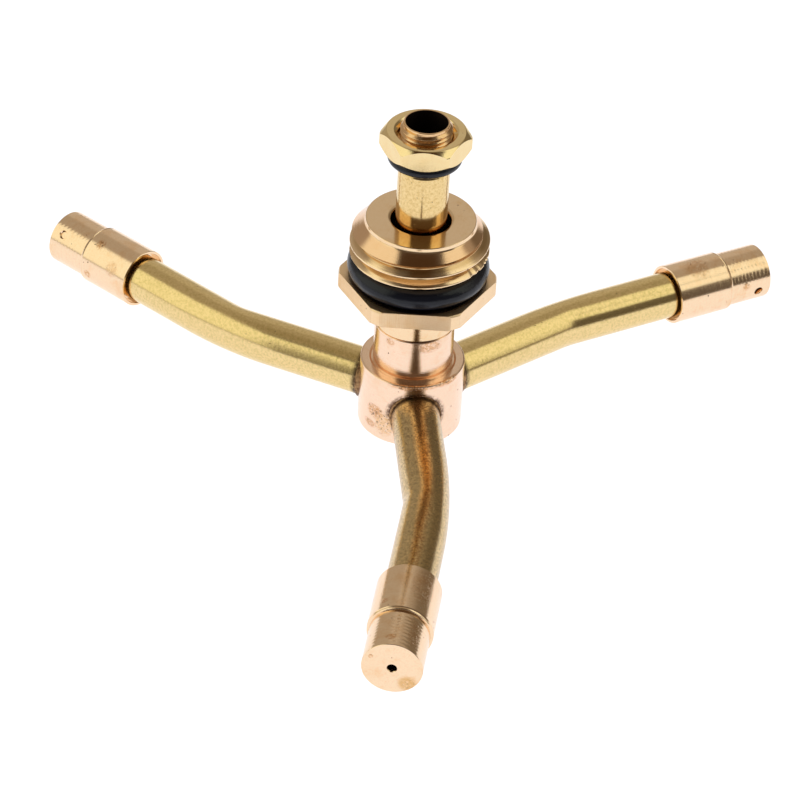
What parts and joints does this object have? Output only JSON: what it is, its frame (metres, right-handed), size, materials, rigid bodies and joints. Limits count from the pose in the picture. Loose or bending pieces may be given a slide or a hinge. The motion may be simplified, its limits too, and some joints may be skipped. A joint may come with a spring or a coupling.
{
  "type": "rotary sprinkler head",
  "caption": "Rotary lawn sprinkler head: a hollow spindle turns in a threaded hexagon bushing, and bent arms carry turnable nozzle caps with fine jet holes.",
  "frame": {"origin": "centre of the hub's flat end, on the axis of rotation", "axes": "+Z along the axis of rotation, from the hub to the inlet thread; +X and +Y level, and the arms point at about -83, 39 and 157 degrees from +X"},
  "size_m": [0.1166, 0.1064, 0.0534],
  "materials": {
    "turned_brass": "turned, with fine tool marks",
    "drawn_brass": "drawn tube, slightly grainy",
    "polished_brass": "bright",
    "braze": "dark with heat",
    "rubber": "black, satin"
  },
  "bodies": {
    "bushing": {"bushing": "turned_brass", "flange_seal": "rubber"},
    "thrust_ring": {"thrust_ring": "rubber"},
    "rotor": {"hub": "turned_brass", "spindle": "drawn_brass", "spindle_nut": "polished_brass", "arm_tube_a": "drawn_brass", "solder_ring_a": "braze", "arm_tube_b": "drawn_brass", "solder_ring_b": "braze", "arm_tube_c": "drawn_brass", "solder_ring_c": "braze"},
    "cap_a": {"nozzle_cap_a": "turned_brass", "cap_seal_a": "rubber"},
    "cap_b": {"nozzle_cap_b": "turned_brass", "cap_seal_b": "rubber"},
    "cap_c": {"nozzle_cap_c": "turned_brass", "cap_seal_c": "rubber"}
  },
  "joints": [
    {"name": "rotor_float", "type": "slide", "parent": "bushing", "child": "thrust_ring", "axis": [0, 0, -1], "range_m": [0, 0.01004]},
    {"name": "rotor_spin", "type": "hinge", "parent": "thrust_ring", "child": "rotor", "pos_m": [0, 0, 0.00555], "axis": [0, 0, 1], "continuous": true},
    {"name": "cap_a_turn", "type": "hinge", "parent": "rotor", "child": "cap_a", "pos_m": [-0.00047, -0.06526, 0.00555], "axis": [-0.1097, -0.994, 0], "range_deg": [-180, 180]},
    {"name": "cap_b_turn", "type": "hinge", "parent": "rotor", "child": "cap_b", "pos_m": [-0.05679, 0.03507, 0.00555], "axis": [-0.7771, 0.6293, 0], "range_deg": [-180, 180]},
    {"name": "cap_c_turn", "type": "hinge", "parent": "rotor", "child": "cap_c", "pos_m": [0.05503, 0.03695, 0.00555], "axis": [0.8686, 0.4955, 0], "range_deg": [-180, 180]}
  ]
}
